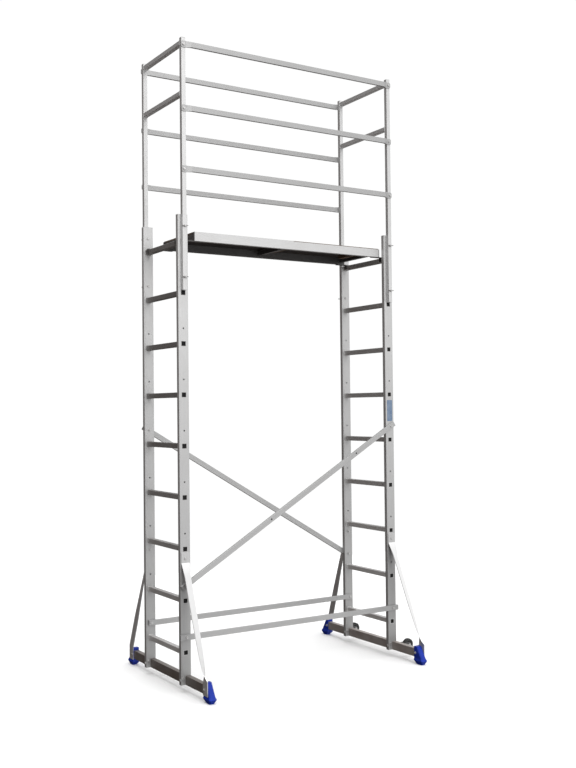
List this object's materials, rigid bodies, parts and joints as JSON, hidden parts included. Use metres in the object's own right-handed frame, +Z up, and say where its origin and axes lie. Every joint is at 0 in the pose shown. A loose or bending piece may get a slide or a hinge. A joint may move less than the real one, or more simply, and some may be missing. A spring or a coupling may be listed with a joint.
{
  "type": "ladder scaffold tower",
  "caption": "Narrow aluminium ladder scaffold with braces, stabiliser feet, small transport wheels, a hooked deck with a hatch, and guard rails.",
  "frame": {"origin": "on the ground, midway between the outermost points in X and Y", "axes": "+X from the left ladder to the wheeled right ladder, -Y the front, +Z up"},
  "size_m": [1.56, 1.066, 3.579],
  "materials": {
    "aluminium": "mill finish, satin",
    "zinc_steel": "zinc plated",
    "blue_plastic": "moulded, fine texture",
    "cap_plastic": "moulded",
    "tyre": "solid rubber",
    "wheel_centre": "moulded",
    "plywood": "phenolic film",
    "batten_wood": "sawn"
  },
  "bodies": {
    "frame": {"base_bar_left": "aluminium", "base_bar_right": "aluminium", "brace_front_diagonal": "aluminium", "brace_front_horizontal": "aluminium", "brace_rear_diagonal": "aluminium", "brace_rear_horizontal": "aluminium", "end_caps": "cap_plastic", "foot_left_front": "blue_plastic", "foot_left_rear": "blue_plastic", "foot_right_front": "blue_plastic", "foot_right_rear": "blue_plastic", "frame_bolts": "zinc_steel", "guard_bolts": "zinc_steel", "guard_crossbars_left": "aluminium", "guard_crossbars_right": "aluminium", "guard_post_left_front": "aluminium", "guard_post_left_rear": "aluminium", "guard_post_right_front": "aluminium", "guard_post_right_rear": "aluminium", "guard_rail_front_lower": "aluminium", "guard_rail_front_middle": "aluminium", "guard_rail_front_upper": "aluminium", "guard_rail_rear_lower": "aluminium", "guard_rail_rear_middle": "aluminium", "guard_rail_rear_upper": "aluminium", "rungs_left": "aluminium", "rungs_right": "aluminium", "stay_left_front": "aluminium", "stay_left_rear": "aluminium", "stay_right_front": "aluminium", "stay_right_rear": "aluminium", "stile_left_front": "aluminium", "stile_left_rear": "aluminium", "stile_right_front": "aluminium", "stile_right_rear": "aluminium", "wheel_axles": "zinc_steel", "wheel_bracket_front": "zinc_steel", "wheel_bracket_rear": "zinc_steel"},
    "wheel_front": {"tyre_front": "tyre", "wheel_hub_front": "wheel_centre"},
    "wheel_rear": {"tyre_rear": "tyre", "wheel_hub_rear": "wheel_centre"},
    "platform": {"deck_beam_front": "aluminium", "deck_beam_rear": "aluminium", "deck_hook_left": "aluminium", "deck_hook_right": "aluminium", "deck_cross_members": "aluminium", "deck_panel": "plywood", "hatch_hinge_fixed_leaf": "zinc_steel"},
    "hatch": {"hatch_panel": "plywood", "hatch_battens": "batten_wood", "hatch_hinge_moving_leaf": "zinc_steel"},
    "wing_nut_left_front_lower": {"wing_nut_left_front_lower": "zinc_steel"},
    "wing_nut_left_front_upper": {"wing_nut_left_front_upper": "zinc_steel"},
    "wing_nut_left_rear_lower": {"wing_nut_left_rear_lower": "zinc_steel"},
    "wing_nut_left_rear_upper": {"wing_nut_left_rear_upper": "zinc_steel"},
    "wing_nut_right_front_lower": {"wing_nut_right_front_lower": "zinc_steel"},
    "wing_nut_right_front_upper": {"wing_nut_right_front_upper": "zinc_steel"},
    "wing_nut_right_rear_lower": {"wing_nut_right_rear_lower": "zinc_steel"},
    "wing_nut_right_rear_upper": {"wing_nut_right_rear_upper": "zinc_steel"}
  },
  "joints": [
    {"name": "wheel_front_spin", "type": "hinge", "parent": "frame", "child": "wheel_front", "pos_m": [0.744, -0.3, 0.074], "axis": [0, 1, 0], "continuous": true},
    {"name": "wheel_rear_spin", "type": "hinge", "parent": "frame", "child": "wheel_rear", "pos_m": [0.744, 0.258, 0.074], "axis": [0, 1, 0], "continuous": true},
    {"name": "platform_lift", "type": "slide", "parent": "frame", "child": "platform", "axis": [0, 0, 1], "range_m": [0, 0.12]},
    {"name": "hatch_hinge", "type": "hinge", "parent": "platform", "child": "hatch", "pos_m": [0.30275, 0.1452, 2.5284], "axis": [-1, 0, 0], "range_deg": [0, 100]},
    {"name": "wing_nut_left_front_lower_turn", "type": "hinge", "parent": "frame", "child": "wing_nut_left_front_lower", "pos_m": [-0.742, -0.2698, 2.258], "axis": [0, -1, 0], "continuous": true},
    {"name": "wing_nut_left_front_upper_turn", "type": "hinge", "parent": "frame", "child": "wing_nut_left_front_upper", "pos_m": [-0.742, -0.2698, 2.538], "axis": [0, -1, 0], "continuous": true},
    {"name": "wing_nut_left_rear_lower_turn", "type": "hinge", "parent": "frame", "child": "wing_nut_left_rear_lower", "pos_m": [-0.742, 0.2698, 2.258], "axis": [0, 1, 0], "continuous": true},
    {"name": "wing_nut_left_rear_upper_turn", "type": "hinge", "parent": "frame", "child": "wing_nut_left_rear_upper", "pos_m": [-0.742, 0.2698, 2.538], "axis": [0, 1, 0], "continuous": true},
    {"name": "wing_nut_right_front_lower_turn", "type": "hinge", "parent": "frame", "child": "wing_nut_right_front_lower", "pos_m": [0.674, -0.2698, 2.258], "axis": [0, -1, 0], "continuous": true},
    {"name": "wing_nut_right_front_upper_turn", "type": "hinge", "parent": "frame", "child": "wing_nut_right_front_upper", "pos_m": [0.674, -0.2698, 2.538], "axis": [0, -1, 0], "continuous": true},
    {"name": "wing_nut_right_rear_lower_turn", "type": "hinge", "parent": "frame", "child": "wing_nut_right_rear_lower", "pos_m": [0.674, 0.2698, 2.258], "axis": [0, 1, 0], "continuous": true},
    {"name": "wing_nut_right_rear_upper_turn", "type": "hinge", "parent": "frame", "child": "wing_nut_right_rear_upper", "pos_m": [0.674, 0.2698, 2.538], "axis": [0, 1, 0], "continuous": true}
  ]
}
